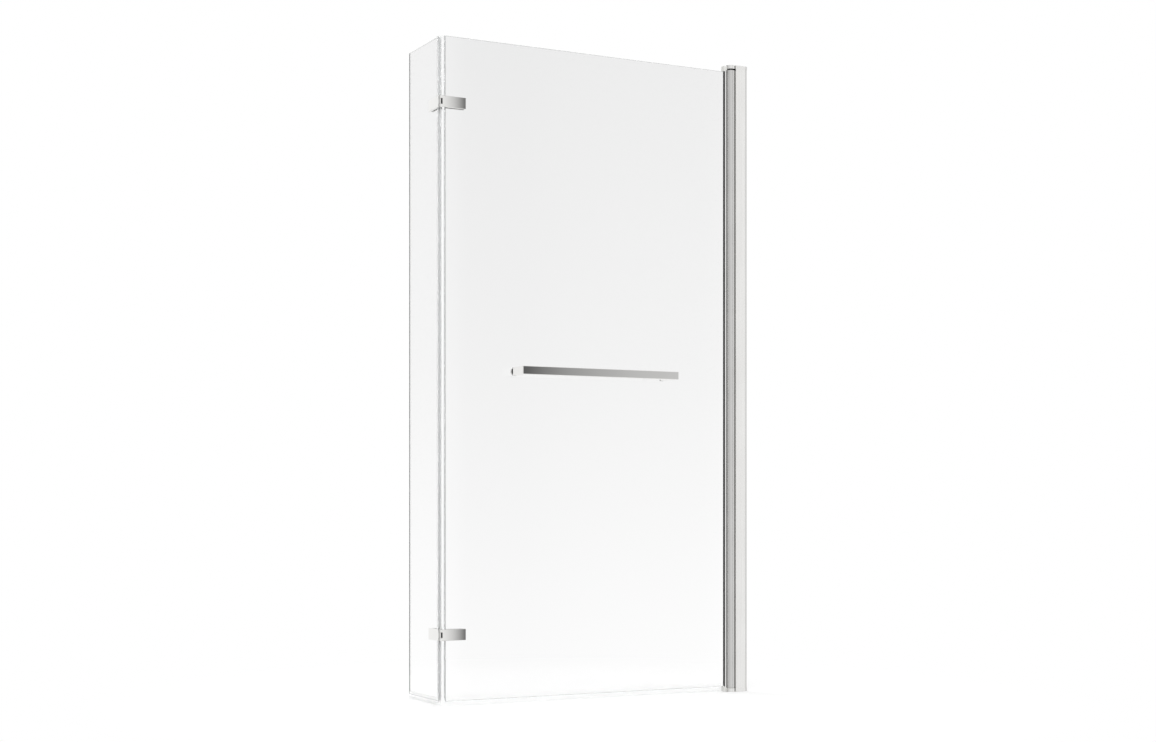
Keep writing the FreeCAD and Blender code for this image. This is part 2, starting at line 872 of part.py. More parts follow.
def write(nodes):
    """Writes each node to its own STEP file."""
    os.makedirs("parts", exist_ok=True)
    for name, shapes in nodes.items():
        solids = [solid for shape in shapes for solid in shape.Solids]
        shape = solids[0] if len(solids) == 1 else Part.makeCompound(solids)
        print(name, len(solids), "solids,", round(shape.Volume), "mm3, valid", shape.isValid())
        shape.exportStep("parts/" + name + ".step")


write(wall_frame())
write(main_screen())
write(return_screen())
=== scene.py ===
import logging
import math
from collections.abc import Sequence
from dataclasses import dataclass
from enum import Enum
from functools import cache, partial, reduce
from typing import Any

import bmesh
import bpy
import numpy as np
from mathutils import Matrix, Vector
from mathutils.geometry import delaunay_2d_cdt


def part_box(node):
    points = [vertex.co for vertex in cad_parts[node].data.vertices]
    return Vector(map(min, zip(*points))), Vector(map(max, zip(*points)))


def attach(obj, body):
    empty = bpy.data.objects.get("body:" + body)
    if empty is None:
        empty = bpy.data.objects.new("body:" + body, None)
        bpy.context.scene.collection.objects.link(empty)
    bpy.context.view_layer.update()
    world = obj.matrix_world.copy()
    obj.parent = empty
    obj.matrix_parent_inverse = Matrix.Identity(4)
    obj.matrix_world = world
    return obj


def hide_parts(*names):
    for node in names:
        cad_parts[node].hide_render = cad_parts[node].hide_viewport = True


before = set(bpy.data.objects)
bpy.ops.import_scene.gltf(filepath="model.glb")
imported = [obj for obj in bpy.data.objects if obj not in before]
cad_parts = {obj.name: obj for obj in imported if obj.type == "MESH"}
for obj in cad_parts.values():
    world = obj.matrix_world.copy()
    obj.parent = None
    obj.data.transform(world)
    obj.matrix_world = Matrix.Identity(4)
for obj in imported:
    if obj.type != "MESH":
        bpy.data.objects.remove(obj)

LOG = logging.getLogger("bath_screen")

Colour = tuple[float, float, float]
Place = tuple[float, float, float]
Span = tuple[float, float]

MM = 0.001
MICRON = 0.001 * MM

GLASS_FOOT, GLASS_HEAD = (corner[2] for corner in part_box("main_glass"))
POST_FOOT, POST_HEAD = (corner[2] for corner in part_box("wall_post"))
GLASS = 6.0 * MM
PIVOT_AXIS = (-37.4 * MM, -3.0 * MM, 0.0)

# The corner of the two panes, on the axis of the hinge pins. The holes' places run from it.
CORNER = (-754.0 * MM, -3.0 * MM, 0.0)
HINGE_HOLES = (24.0 * MM, 44.0 * MM)
HINGE_LEVELS = (GLASS_FOOT + 140.0 * MM, GLASS_HEAD - 140.0 * MM)
RAIL_HOLES = (175.0 * MM, 540.0 * MM)
RAIL_LEVEL = GLASS_FOOT + 699.0 * MM

# What the clear seals have in common: the thickness of their walls, the gap that keeps them
# off the glass, and the rounding of their corners.
SEAL_WALL = 1.0 * MM
SEAL_GAP = 0.06 * MM
SEAL_ROUNDING = 0.35 * MM

PLASTIC_IOR = 1.46
GLASS_IOR = 1.5


class Body(Enum):
    """The three rigid bodies of the screen."""

    WALL = "wall_frame"
    MAIN = "main_screen"
    RETURN = "return_screen"


class Pane(Enum):
    """The two glass panels, by the axis that each one runs along."""

    MAIN = 0
    RETURN = 1


# ------------------------------------------------------------------ node graphs


class Graph:
    """Writes a node tree in short calls."""

    def __init__(self, tree: bpy.types.NodeTree) -> None:
        """Empties the tree and keeps it."""
        self.tree = tree
        tree.nodes.clear()

    def node(self, kind: str, wires: dict[Any, Any] | None = None, **settings: Any) -> Any:
        """Adds one node.

        Args:
            kind: the node's type.
            wires: for each input, by name or number, a plain value or another node's output.
            settings: the node's own properties.

        Returns:
            The node.
        """
        made_node = self.tree.nodes.new(kind)
        for key, value in settings.items():
            setattr(made_node, key, value)
        for key, value in (wires or {}).items():
            if isinstance(value, bpy.types.NodeSocket):
                self.tree.links.new(value, made_node.inputs[key])
            else:
                made_node.inputs[key].default_value = value
        return made_node

    def here(self) -> Any:
        """Object coordinates in metres."""
        return self.node("ShaderNodeTexCoord").outputs["Object"]

    def stretched(self, cells: Place) -> Any:
        """Object coordinates in pattern cells, so many to the metre along X, Y and Z."""
        return self.node("ShaderNodeMapping", {"Vector": self.here(), "Scale": cells}).outputs[0]

    def height(self) -> Any:
        """The height over the bath rim in metres."""
        return self.node("ShaderNodeSeparateXYZ", {0: self.here()}).outputs[2]

    def apart(self, where: Any, point: Place) -> Any:
        """The distance of a vector output from a point."""
        return self.node("ShaderNodeVectorMath", {0: where, 1: point},
                         operation="DISTANCE").outputs["Value"]

    def away_from(self, axis: Place) -> Any:
        """The level distance from an upright axis."""
        level = self.node("ShaderNodeVectorMath", {0: self.here(), 1: (1.0, 1.0, 0.0)},
                          operation="MULTIPLY").outputs[0]
        return self.apart(level, axis)

    def noise(self, where: Any, scale: float = 1.0, detail: float = 2.0) -> Any:
        """A cloudy pattern from about 0.3 to 0.7.

        Args:
            where: the vector output to read.
            scale: cells per unit of that vector.
            detail: octaves of finer noise.

        Returns:
            The factor output.
        """
        wires = {"Vector": where, "Scale": scale, "Detail": detail}
        return self.node("ShaderNodeTexNoise", wires).outputs[0]

    def sum_of(self, operation: str, *terms: Any) -> Any:
        """One arithmetic step.

        Args:
            operation: the name of Blender's Math operation.
            terms: the numbers or outputs that it takes.

        Returns:
            The value output.
        """
        return self.node("ShaderNodeMath", dict(enumerate(terms)), operation=operation).outputs[0]

    def spread(self, factor: Any, source: Span, target: Span, smooth: bool = False) -> Any:
        """Maps one range on to another, and stops at its ends.

        Args:
            factor: the value output to read.
            source: the two values of the factor at the ends.
            target: what comes out at those ends.
            smooth: whether the ends are eased.

        Returns:
            The value output.
        """
        wires = {0: factor, 1: source[0], 2: source[1], 3: target[0], 4: target[1]}
        kind = "SMOOTHSTEP" if smooth else "LINEAR"
        return self.node("ShaderNodeMapRange", wires, interpolation_type=kind).outputs[0]

    def mixed(self, factor: Any, first: Any, second: Any) -> Any:
        """Mixes two colours.

        Args:
            factor: 0 for the first colour, 1 for the second.
            first: a colour or a colour output.
            second: a colour or a colour output.

        Returns:
            The colour output.
        """
        wires = {0: factor, 6: opaque(first), 7: opaque(second)}
        return self.node("ShaderNodeMix", wires, data_type="RGBA").outputs[2]

    def any_ray(self, *kinds: str) -> Any:
        """1 for the rays of any of the given kinds, and 0 for the rest."""
        rays = self.node("ShaderNodeLightPath").outputs
        return reduce(partial(self.sum_of, "MAXIMUM"), [rays[f"Is {kind} Ray"] for kind in kinds])

    def bump(self, height: Any, depth: float) -> Any:
        """Surface relief.

        Args:
            height: the pattern, 0 to 1.
            depth: how deep the pattern is, in metres.

        Returns:
            The normal output.
        """
        wires = {"Height": height, "Strength": 1.0, "Distance": depth}
        return self.node("ShaderNodeBump", wires).outputs[0]

    def ramp(self, factor: Any, stops: Sequence[Span]) -> Any:
        """A grey value that runs through a list of stops.

        Args:
            factor: the value output to read, 0 to 1.
            stops: pairs of position and grey value, in rising order.

        Returns:
            The colour output.
        """
        band = self.node("ShaderNodeValToRGB", {0: factor})
        elements = band.color_ramp.elements
        for position, _ in stops[1:-1]:
            elements.new(position)
        elements[0].position, elements[-1].position = stops[0][0], stops[-1][0]
        for element, (_, grey) in zip(elements, stops):
            element.color = (grey, grey, grey, 1.0)
        return band.outputs[0]

    def surface(self, wires: dict[Any, Any]) -> None:
        """Ends the graph in one principled surface with the given inputs."""
        shader = self.node("ShaderNodeBsdfPrincipled", wires)
        self.node("ShaderNodeOutputMaterial", {"Surface": shader.outputs[0]})


def opaque(colour: Any) -> Any:
    """A plain colour with its alpha, or an output as it is."""
    return (*colour, 1.0) if isinstance(colour, tuple) else colour


# ------------------------------------------------------------------ finishes


@dataclass(frozen=True)
class Finish:
    """A surface finish: a name, and a graph that draws it."""

    name: str

    def paint(self, graph: Graph) -> None:
        """Draws the finish into an empty graph."""
        raise NotImplementedError


@cache
def made(finish: Finish) -> bpy.types.Material:
    """Makes a finish's material the first time it is asked for.

    Args:
        finish: the finish.

    Returns:
        The material.
    """
    material = bpy.data.materials.new(finish.name)
    material.use_nodes = True
    finish.paint(Graph(material.node_tree))
    return material


@dataclass(frozen=True)
class Grained(Finish):
    """A finish with slow clouds in its colour, and a grain in its gloss and its relief."""

    colour: Colour
    clouded: Colour
    roughness: Span
    grain: Place
    relief: float
    clouds: float = 30.0
    cloud_detail: float = 3.0
    grain_detail: float = 2.0
    noise_span: Span = (0.35, 0.65)

    def plain(self) -> dict[str, float]:
        """The surface's inputs that are the same all over."""
        return {}

    def cloud(self, graph: Graph) -> Any:
        """The output of the slow clouds."""
        return graph.noise(graph.here(), self.clouds, self.cloud_detail)

    def tone(self, graph: Graph) -> Any:
        """The colour's output: clouds mix the two colours."""
        share = graph.spread(self.cloud(graph), self.noise_span, (0, 1))
        return graph.mixed(share, self.colour, self.clouded)

    def gloss(self, graph: Graph, grain: Any) -> Any:
        """The roughness output: grain moves it from end to end."""
        return graph.spread(grain, self.noise_span, self.roughness)

    def paint(self, graph: Graph) -> None:
        """Puts tone, gloss and relief together in one surface."""
        grain = graph.noise(graph.stretched(self.grain), 1.0, self.grain_detail)
        graph.surface({"Base Color": self.tone(graph), "Roughness": self.gloss(graph, grain),
                       "Normal": graph.bump(grain, self.relief), **self.plain()})


@dataclass(frozen=True)
class Metal(Grained):
    """Bare or plated metal, with a broad haze and a fine directional grain."""

    clouds: float = 11.0
    cloud_detail: float = 4.0
    grain_detail: float = 3.0
    haze_share: float = 0.6

    def plain(self) -> dict[str, float]:
        """Metal all over."""
        return {"Metallic": 1.0}

    def gloss(self, graph: Graph, grain: Any) -> Any:
        """Haze and grain both move the gloss, by their shares."""
        worn = graph.sum_of("ADD", graph.sum_of("MULTIPLY", self.cloud(graph), self.haze_share),
                            graph.sum_of("MULTIPLY", grain, 1 - self.haze_share))
        return super().gloss(graph, worn)


@dataclass(frozen=True)
class GapShadedMetal(Metal):
    """Metal with painted shade where it faces the pivot profile: dark and rougher in the gap.

    The painted shade lies within a radius of the pivot axis, at every height or at one height,
    and on the far wall of a round groove about the axis.
    """

    haze_share: float = 0.0
    radius: float = 0.0
    at_height: float | None = None
    groove: float = 0.0
    # painted shade: the dark colour of the gap between the post and the pivot profile
    gap_shade_colour: Colour = (0.035, 0.035, 0.035)
    gloss_loss: float = 0.4
    fade: Span = (0.05 * MM, 0.25 * MM)
    height_reach: float = 0.1 * MM
    groove_reach: float = 0.12 * MM

    def painted_gap_shade(self, graph: Graph) -> Any:
        """Finds the painted gap shade by the distance from the pivot axis.

        Args:
            graph: the material's graph.

        Returns:
            An output of 1 where the shade is painted and 0 elsewhere.
        """
        away = graph.away_from(PIVOT_AXIS)
        start, end = (self.radius + step for step in self.fade)
        inside = graph.spread(away, (start, end), (1, 0))
        if self.at_height is not None:
            level = graph.sum_of("COMPARE", graph.height(), self.at_height, self.height_reach)
            inside = graph.sum_of("MULTIPLY", inside, level)
        wall = graph.sum_of("COMPARE", away, self.groove, self.groove_reach)
        return graph.sum_of("MAXIMUM", inside, wall)

    def tone(self, graph: Graph) -> Any:
        """The painted shade takes the dark gap colour."""
        return graph.mixed(self.painted_gap_shade(graph), super().tone(graph), self.gap_shade_colour)

    def gloss(self, graph: Graph, grain: Any) -> Any:
        """Where the shade is painted the metal is also rougher."""
        loss = graph.sum_of("MULTIPLY", self.painted_gap_shade(graph), self.gloss_loss)
        return graph.sum_of("ADD", super().gloss(graph, grain), loss)


@dataclass(frozen=True)
class NeckedMetal(Metal):
    """The pivot profile's metal: a satin round, a painted shade line at the neck's root, and a lip
    painted lighter than the round.
    """

    haze_share: float = 0.0
    round_end: float = 10.9 * MM
    lip_start: float = 13.3 * MM
    round_fade: float = 0.2 * MM
    lip_fade: float = 0.3 * MM
    # painted shade: the dark line where the neck leaves the round
    line: Colour = (0.10, 0.10, 0.10)
    # painted light: the lip is lighter than the darker round of the same extrusion
    lip: Colour = (0.90, 0.895, 0.88)

    def tone(self, graph: Graph) -> Any:
        """The distance from the pivot axis tells the round, the painted shade line and the lighter
        painted lip apart.

        Args:
            graph: the material's graph.

        Returns:
            The colour's output.
        """
        away = graph.away_from(PIVOT_AXIS)
        past_round = graph.spread(away, (self.round_end, self.round_end + self.round_fade), (0, 1))
        on_lip = graph.spread(away, (self.lip_start - self.lip_fade, self.lip_start), (0, 1))
        neck = graph.mixed(on_lip, self.line, self.lip)
        return graph.mixed(past_round, super().tone(graph), neck)


@dataclass(frozen=True)
class Moulding(Grained):
    """Solid rubber or nylon, mottled, with a fine moulded grain."""

    shine: float = 0.5

    def plain(self) -> dict[str, float]:
        """The strength of its mirror light."""
        return {"Specular IOR Level": self.shine}


@dataclass(frozen=True)
class ClearPlastic(Grained):
    """Clear extruded or moulded plastic, faintly clouded, with flow lines along it."""

    body: float = 1.0

    def plain(self) -> dict[str, float]:
        """Clear all through, with as much body as its thin walls show."""
        return {"IOR": PLASTIC_IOR, "Transmission Weight": 1.0, "Alpha": self.body}


@dataclass(frozen=True)
class SheetGlass(Finish):
    """Toughened clear glass with painted shade: clear at the foot and darker upwards."""

    painted_foot_shade: Colour
    painted_knee_shade: Colour
    painted_head_shade: Colour
    pale_foot: float = 0.05
    knee: float = 0.75
    smears: Place = (9.0, 9.0, 3.0)
    smear_span: Span = (0.35, 0.75)
    roughness: Span = (0.0, 0.012)
    ripples: float = 5.0
    relief: float = 40 * MICRON

    def paint(self, graph: Graph) -> None:
        """Height sets the painted shade, and a slow ripple from the rollers moves the relief.

        Args:
            graph: the material's empty graph.
        """
        height = graph.height()
        low = graph.mixed(graph.spread(height, (self.pale_foot, self.knee), (0, 1)),
                          self.painted_foot_shade, self.painted_knee_shade)
        # painted shade: the glass is darker higher up, standing for the reflection of the room
        # above
        painted_shade = graph.mixed(graph.spread(height, (self.knee, GLASS_HEAD), (0, 1)),
                           low, self.painted_head_shade)
        smear = graph.noise(graph.stretched(self.smears), detail=3.0)
        ripple = graph.noise(graph.here(), self.ripples, detail=1.0)
        graph.surface({
            "Base Color": painted_shade,
            "Roughness": graph.spread(smear, self.smear_span, self.roughness),
            "IOR": GLASS_IOR,
            "Transmission Weight": 1.0,
            "Normal": graph.bump(ripple, self.relief),
        })


@dataclass(frozen=True)
class GlassEdge(Grained):
    """The ground and polished edge of a sheet, with the fine marks of the wheel along it, in a grey
    painted for its light and shade.
    """

    relief: float = 10 * MICRON
    grain_detail: float = 3.0
    noise_span: Span = (0.3, 0.7)
    clear: float = 0.0
    body: float = 1.0

    def plain(self) -> dict[str, float]:
        """How clear the edge is, and how much of it shows."""
        return {"IOR": GLASS_IOR, "Transmission Weight": self.clear, "Alpha": self.body}

    def cloud(self, graph: Graph) -> Any:
        """The wheel marks move the colour too."""
        return graph.noise(graph.stretched(self.grain), 1.0, self.grain_detail)


@dataclass(frozen=True)
class PaleFloor(Finish):
    """Matt pale floor that looks white wherever no shadow falls on it."""

    colour: Colour = (0.82, 0.82, 0.82)
    fleck: Colour = (0.81, 0.81, 0.81)
    flecks: float = 60.0
    middle: Place = (-0.4, 0.0, 0.0)
    lift: float = 0.30
    reach: Span = (0.25, 1.1)

    def paint(self, graph: Graph) -> None:
        """Matt and slightly lifted near the object, and plain white at the rim.

        The lift and the white are for the rays that show a background.

        Args:
            graph: the material's empty graph.
        """
        away = graph.apart(graph.here(), self.middle)
        seen = graph.any_ray("Camera", "Glossy", "Transmission")
        far = graph.sum_of("MULTIPLY", seen, graph.spread(away, self.reach, (0, 1), True))
        flecks = graph.noise(graph.here(), self.flecks, detail=3.0)
        shade = graph.mixed(flecks, self.colour, self.fleck)
        matt = graph.node("ShaderNodeBsdfDiffuse", {"Color": shade})
        glow = graph.node("ShaderNodeEmission",
                          {"Strength": graph.sum_of("MULTIPLY", seen, self.lift)})
        near = graph.node("ShaderNodeAddShader", {0: matt.outputs[0], 1: glow.outputs[0]})
        white = graph.node("ShaderNodeEmission", {"Strength": 1.0})
        both = graph.node("ShaderNodeMixShader",
                          {0: far, 1: near.outputs[0], 2: white.outputs[0]})
        graph.node("ShaderNodeOutputMaterial", {"Surface": both.outputs[0]})


CHROME = Metal("polished_chrome", (0.93, 0.925, 0.91), (0.90, 0.895, 0.88),
               roughness=(0.004, 0.022), grain=(90.0, 1400.0, 1400.0), relief=0.15 * MICRON)
# one extrusion in two tones, the round darker and the lip lighter, with a painted shade line
# between: painted light and shade
BRIGHT_PROFILE = NeckedMetal("bright_anodised_extrusion", (0.69, 0.686, 0.675),
                             (0.66, 0.656, 0.645), roughness=(0.09, 0.15),
                             grain=(2600.0, 2600.0, 5.0), relief=3 * MICRON)
# the post carries painted shade in its trough next to the pivot profile
BRIGHT_POST = GapShadedMetal("bright_anodised_post", (0.90, 0.895, 0.88), (0.87, 0.865, 0.85),
                           roughness=(0.07, 0.13), grain=(2600.0, 2600.0, 5.0),
                           relief=3 * MICRON, radius=11.1 * MM)
MILL_ALUMINIUM = Metal("mill_aluminium", (0.72, 0.72, 0.72), (0.60, 0.60, 0.61),
                       roughness=(0.32, 0.5), grain=(1500.0, 1500.0, 8.0), relief=10 * MICRON)
# the cap carries painted shade round the pivot and in its groove
PLATED_CAP = GapShadedMetal("plated_cap", (0.90, 0.895, 0.88), (0.86, 0.855, 0.84),
                          roughness=(0.08, 0.15), grain=(900.0, 900.0, 900.0),
                          relief=4 * MICRON, clouds=40.0, radius=10.5 * MM,
                          at_height=POST_HEAD, groove=11.6 * MM)
STAINLESS = Metal("stainless_steel", (0.70, 0.69, 0.67), (0.58, 0.57, 0.56),
                  roughness=(0.16, 0.30), grain=(1800.0, 200.0, 1800.0), relief=4 * MICRON,
                  clouds=120.0)
BLACK_RUBBER = Moulding("black_rubber", (0.016, 0.016, 0.017), (0.034, 0.033, 0.032),
                        roughness=(0.42, 0.62), grain=(2400.0,) * 3, clouds=120.0,
                        relief=20 * MICRON)
WHITE_NYLON = Moulding("white_nylon", (0.80, 0.80, 0.78), (0.72, 0.72, 0.69),
                       roughness=(0.32, 0.48), grain=(1500.0,) * 3, clouds=75.0,
                       relief=10 * MICRON)
DARK_NYLON = Moulding("dark_nylon", (0.028, 0.028, 0.030), (0.05, 0.05, 0.052),
                      roughness=(0.30, 0.45), grain=(1800.0,) * 3, clouds=90.0,
                      relief=10 * MICRON, shine=0.2)
CLEAR_SEAL_ALONG_X, CLEAR_SEAL_ALONG_Y = (
    ClearPlastic(f"clear_seal_along_{axis}", (0.985, 0.99, 0.99), (0.965, 0.975, 0.975),
                 roughness=(0.03, 0.09), grain=flow, relief=3 * MICRON, body=0.25)
    for axis, flow in (("x", (6.0, 900.0, 900.0)), ("y", (900.0, 6.0, 900.0))))
CLEAR_SEAL_UPRIGHT = ClearPlastic("clear_seal_upright", (0.95, 0.955, 0.955),
                                  (0.93, 0.935, 0.935), roughness=(0.03, 0.07),
                                  grain=(900.0, 900.0, 6.0), relief=2 * MICRON, body=0.45)
CLEAR_PAD = ClearPlastic("clear_pad", (0.95, 0.96, 0.96), (0.88, 0.90, 0.90),
                         roughness=(0.08, 0.16), grain=(400.0, 400.0, 400.0),
                         relief=10 * MICRON)
# the three greys are the painted shade at the foot, the knee and the head of the sheet
MAIN_GLASS = SheetGlass("main_sheet_glass", (1.0, 1.0, 1.0), (0.912, 0.912, 0.912),
                        (0.865, 0.865, 0.865))
RETURN_GLASS = SheetGlass("return_sheet_glass", (1.0, 1.0, 1.0), (0.905, 0.905, 0.905),
                          (0.87, 0.87, 0.87))
# painted shade: the free edge is painted dark and the corner edge mid grey
FREE_EDGE, CORNER_EDGE = (
    GlassEdge(name, colour, bright, roughness=(0.14, 0.28), grain=(900.0, 900.0, 30.0))
    for name, colour, bright in (
        ("free_edge_painted_shade", (0.135, 0.14, 0.14), (0.18, 0.185, 0.185)),
        ("corner_edge_painted_shade", (0.57, 0.58, 0.58), (0.64, 0.65, 0.65))))
# painted light: the level edges are painted light, as a bright band along the top and foot
MAIN_LEVEL_EDGE, RETURN_LEVEL_EDGE = (
    GlassEdge(name, colour, bright, roughness=(0.10, 0.22), grain=(30.0, 30.0, 900.0),
              clear=clear, body=body)
    for name, colour, bright, clear, body in (
        ("level_edge_painted_light", (0.80, 0.81, 0.81), (0.88, 0.89, 0.89), 0.45, 0.6),
        ("return_edge_painted_light", (0.91, 0.92, 0.92), (0.95, 0.96, 0.96), 0.3, 0.45)))


# ------------------------------------------------------------------ shapes


def rounded_outline(corners: Sequence[Span], radius: float, steps: int = 4,
                    share: float = 0.45) -> np.ndarray:
    """Rounds every corner of a closed outline.

    A corner p gives way to the curve (1-t)^2 a + 2t(1-t) p + t^2 b, where a and b lie on its two
    sides at the rounding distance, or at a share of the side where that is less.

    Args:
        corners: the outline's corners in order.
        radius: the rounding distance.
        steps: points on each curve.
        share: the most of a side that one corner takes.

    Returns:
        The points of the rounded outline, one row each.
    """
    corner = np.array(corners, float)
    curve = np.linspace(0.0, 1.0, steps)[None, :, None]
    ends = []
    for shift in (1, -1):
        side = np.roll(corner, shift, axis=0) - corner
        length = np.linalg.norm(side, axis=1, keepdims=True)
        ends.append((corner + side / length * np.minimum(radius, share * length))[:, None, :])
    bend = (1 - curve) ** 2 * ends[0] + 2 * curve * (1 - curve) * corner[:, None, :]
    return (bend + curve ** 2 * ends[1]).reshape(-1, 2)


def blade(root: Span, tip: Span, belly: Span, width: float, steps: int = 7,
          taper: float = 0.4) -> np.ndarray:
    """A thin lip that bends from its root to its tip and back, as an open outline.

    The middle line is (1-t)^2 root + 2t(1-t) belly + t^2 tip. The two sides stand off it along
    its normal by half the width times (1 - taper t).

    Args:
        root: the middle of the lip's root.
        tip: the middle of its free end.
        belly: the point that it bends towards.
        width: its thickness at the root.
        steps: points on each side.
        taper: the part of its thickness that it loses towards the tip.

    Returns:
        The points down one side and up the other.
    """
    along = np.linspace(0.0, 1.0, steps)[:, None]
    start, middle, end = (np.array(point, float) for point in (root, belly, tip))
    line = (1 - along) ** 2 * start + 2 * along * (1 - along) * middle + along ** 2 * end
    run = 2 * (1 - along) * (middle - start) + 2 * along * (end - middle)
    normal = np.stack([-run[:, 1], run[:, 0]], axis=1) / np.linalg.norm(run, axis=1)[:, None]
    half = width / 2 * (1 - taper * along)
    return np.concatenate([line + normal * half, (line - normal * half)[::-1]])


def ring_quads(rings: int, around: int) -> np.ndarray:
    """Quads between closed rings of points.

    Args:
        rings: how many rings.
        around: points on each ring.

    Returns:
        The four corner numbers of each quad.
    """
    ring, point = np.meshgrid(np.arange(rings - 1), np.arange(around), indexing="ij")
    after = (point + 1) % around
    quads = np.stack([ring * around + point, ring * around + after,
                      (ring + 1) * around + after, (ring + 1) * around + point], axis=-1)
    return quads.reshape(-1, 4)


def directions(angle: np.ndarray) -> np.ndarray:
    """The unit directions (cos a, sin a) at an array of angles."""
    return np.stack([np.cos(angle), np.sin(angle)], axis=-1)


def full_turn(steps: int) -> np.ndarray:
    """Even angles round a full turn."""
    return np.linspace(0.0, 2 * math.pi, steps, endpoint=False)


def rounded_rim(core: np.ndarray, unit: np.ndarray, radius: float, half: float,
                rounding: float, steps: int = 9) -> np.ndarray:
    """The rings of a sheet's rim, rounded from one face to the other.

    At the angle t from -90 to 90 degrees a ring lies half sin t from the sheet's middle, and its
    points are core + (radius - rounding (1 - cos t)) unit. Round a hole the rounding is below 0.

    Args:
        core: the points that the rim is rounded about, two numbers each.
        unit: the direction from each core point to the rim.
        radius: the distance from core to rim.
        half: half the sheet's thickness.
        rounding: how far the faces end short of the rim.
        steps: how many rings.

    Returns:
        An array of ring, place on the ring, and (first, second, across).
    """
    turn = np.linspace(-math.pi / 2, math.pi / 2, steps)
    reach = radius - rounding * (1 - np.cos(turn))
    flat = core[None] + reach[:, None, None] * unit[None]
    across = np.broadcast_to((half * np.sin(turn))[:, None, None], (*flat.shape[:2], 1))
    return np.concatenate([flat, across], axis=2)


def face_between(loops: Sequence[np.ndarray], holes: np.ndarray, hole: float,
                 apart: float = 0.1 * MICRON) -> np.ndarray:
    """Triangles that fill a flat outline round its holes.

    Args:
        loops: the outline and the hole outlines, two numbers for each point.
        holes: the middles of the holes.
        hole: their radius.
        apart: the distance under which two points would count as one.

    Returns:
        Three point numbers for each triangle, counted through all the loops.
    """
    points = np.concatenate(loops)
    edges, first = [], 0
    for loop in loops:
        number = np.arange(len(loop))
        edges.append(np.stack([first + number, first + (number + 1) % len(loop)], axis=1))
        first += len(loop)
    found = delaunay_2d_cdt([Vector(point) for point in points],
                            np.concatenate(edges).tolist(), [], 0, apart)
    source = np.array([origins[0] for origins in found[3]])
    triangles = source[np.array(found[2])]
    middles = points[triangles].mean(axis=1)
    from_holes = np.linalg.norm(middles[:, None] - holes[None], axis=2)
    return triangles[(from_holes > hole).all(axis=1)]


def placed(name: str, data: bpy.types.ID) -> bpy.types.Object:
    """Puts a new object in the scene, at the origin.

    Args:
        name: its name.
        data: its mesh, lamp or camera.

    Returns:
        The object.
    """
    new_object = bpy.data.objects.new(name, data)
    bpy.context.scene.collection.objects.link(new_object)
    return new_object


def closed_piece(name: str, points: np.ndarray, faces: list[list[int]],
                 smooth: np.ndarray) -> bpy.types.Object:
    """A closed piece with its faces pointing out.

    Args:
        name: the piece's name.
        points: X, Y and Z of each point.
        faces: the corner numbers of each face.
        smooth: for each face, whether it is shaded smooth.

    Returns:
        The piece.
    """
    mesh = bpy.data.meshes.new(name)
    mesh.from_pydata(points, [], faces)
    work = bmesh.new()
    work.from_mesh(mesh)
    bmesh.ops.recalc_face_normals(work, faces=work.faces)
    work.to_mesh(mesh)
    work.free()
    mesh.polygons.foreach_set("use_smooth", smooth)
    return placed(name, mesh)


def shells(name: str, parts: Sequence[np.ndarray], smooth: bool = False) -> bpy.types.Object:
    """A piece of one or more shells with rings of the same sizes, closed over both ends.

    Args:
        name: the piece's name.
        parts: for each shell, its points as an array of ring, place on the ring, and X, Y, Z.
        smooth: whether it is shaded smooth.

    Returns:
        The piece.
    """
    rings, around = parts[0].shape[:2]
    count = rings * around
    ends = [list(range(around)), list(range(count - around, count))]
    faces = [[corner + number * count for corner in face] for number in range(len(parts))
             for face in ring_quads(rings, around).tolist() + ends]
    points = np.concatenate([part.reshape(-1, 3) for part in parts])
    return closed_piece(name, points, faces, np.full(len(faces), smooth))


def strip(name: str, outline: np.ndarray, span: Sequence[float], order: Sequence[int],
          origin: Place) -> bpy.types.Object:
    """A piece with one section from end to end.

    Args:
        name: the piece's name.
        outline: the section's points, two numbers each.
        span: where the piece starts and ends along its length.
        order: which of (first, second, along) goes to X, Y and Z.
        origin: the section frame's origin in the row frame.

    Returns:
        The piece.
    """
    flat = np.broadcast_to(outline[None], (len(span), *outline.shape))
    along = np.broadcast_to(np.array(span)[:, None, None], (*flat.shape[:2], 1))
    rings = np.concatenate([flat, along], axis=2)[..., list(order)] + np.array(origin)
    return shells(name, [rings])


def channel(web: float, edge: float, leg_end: float) -> list[Span]:
    """The section of a clear channel on the edge of a sheet: two legs and a web.

    Args:
        web: where the web's outer face lies.
        edge: where the sheet's edge lies.
        leg_end: where the two legs end.

    Returns:
        The corners from the web's front end to its back end. Their first number runs across the
        sheet, and the second from its edge inwards.
    """
    front, back = -SEAL_WALL, GLASS + SEAL_WALL
    left, right = -SEAL_GAP, GLASS + SEAL_GAP
    return [(front, web), (front, leg_end), (left, leg_end), (left, edge - SEAL_GAP),
            (right, edge - SEAL_GAP), (right, leg_end), (back, leg_end), (back, web)]


